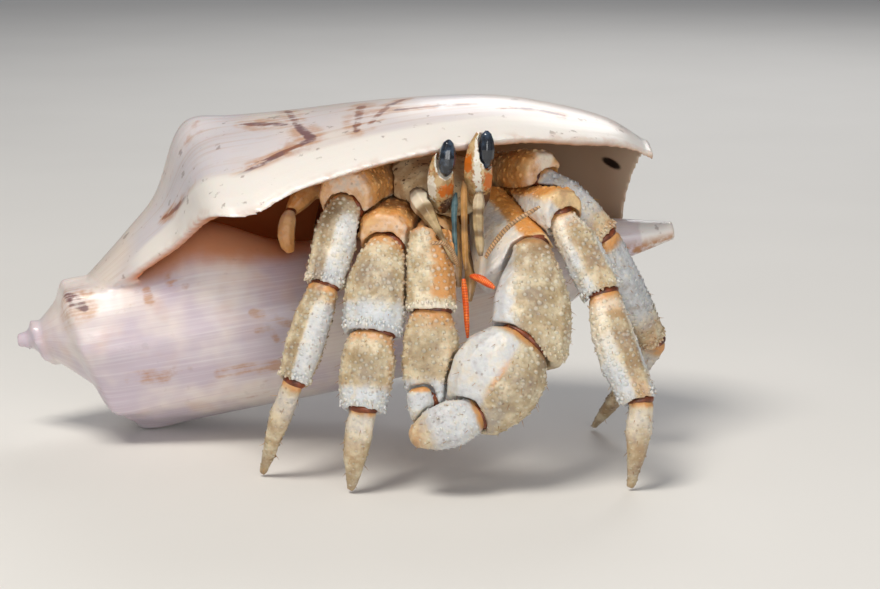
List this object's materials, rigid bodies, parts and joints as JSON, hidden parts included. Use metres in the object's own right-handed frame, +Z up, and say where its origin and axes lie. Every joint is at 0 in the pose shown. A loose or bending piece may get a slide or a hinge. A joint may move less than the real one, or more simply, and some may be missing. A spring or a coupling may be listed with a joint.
{
  "type": "hermit crab",
  "caption": "Life-size still model of a pale land hermit crab leaning out of a smooth white volute shell, claws and legs set down in front of it.",
  "frame": {"origin": "on the floor, at the middle of the footprint of the whole model", "axes": "+X along the shell from its apex towards its open end, +Y to the back of the shell, +Z up; the crab looks towards -Y"},
  "size_m": [0.0766, 0.0468, 0.0399],
  "materials": {
    "shell": "smooth porcelain-like sea shell with thin brown zigzags",
    "shield": "tan, brown-speckled carapace",
    "soft": "soft reddish skin",
    "stalk": "cream and orange eyestalk",
    "cornea": "glossy slate-black eye",
    "feeler": "tan feelers, some orange",
    "upper_limb": "orange-cream horny armour",
    "limb": "pale horny armour with whitish bumps and brown patches"
  },
  "bodies": {
    "root": {"abdomen": "soft", "antenna_flagellum_left": "feeler", "antenna_flagellum_right": "feeler", "antenna_peduncle_left": "feeler", "antenna_peduncle_right": "feeler", "antennule_flagellum_left": "feeler", "antennule_flagellum_right": "feeler", "antennule_peduncle_left": "feeler", "antennule_peduncle_right": "feeler", "carapace": "shield", "cornea_left": "cornea", "cornea_right": "cornea", "eyestalk_left": "stalk", "eyestalk_right": "stalk", "left_cheliped_carpus": "limb", "left_cheliped_dactyl": "limb", "left_cheliped_merus": "upper_limb", "left_cheliped_palm": "limb", "left_leg2_carpus": "limb", "left_leg2_dactyl": "limb", "left_leg2_merus": "upper_limb", "left_leg2_propodus": "limb", "left_leg3_carpus": "limb", "left_leg3_dactyl": "limb", "left_leg3_merus": "upper_limb", "left_leg3_propodus": "limb", "left_leg4": "upper_limb", "left_leg5": "soft", "maxilliped_left": "feeler", "maxilliped_right": "feeler", "right_cheliped_carpus": "upper_limb", "right_cheliped_dactyl": "limb", "right_cheliped_merus": "upper_limb", "right_cheliped_palm": "limb", "right_leg2_carpus": "limb", "right_leg2_dactyl": "limb", "right_leg2_merus": "upper_limb", "right_leg2_propodus": "limb", "right_leg3_carpus": "limb", "right_leg3_dactyl": "limb", "right_leg3_merus": "upper_limb", "right_leg3_propodus": "limb", "right_leg4_lower": "upper_limb", "right_leg4_upper": "upper_limb", "right_leg5": "soft", "shell": "shell"}
  },
  "joints": []
}
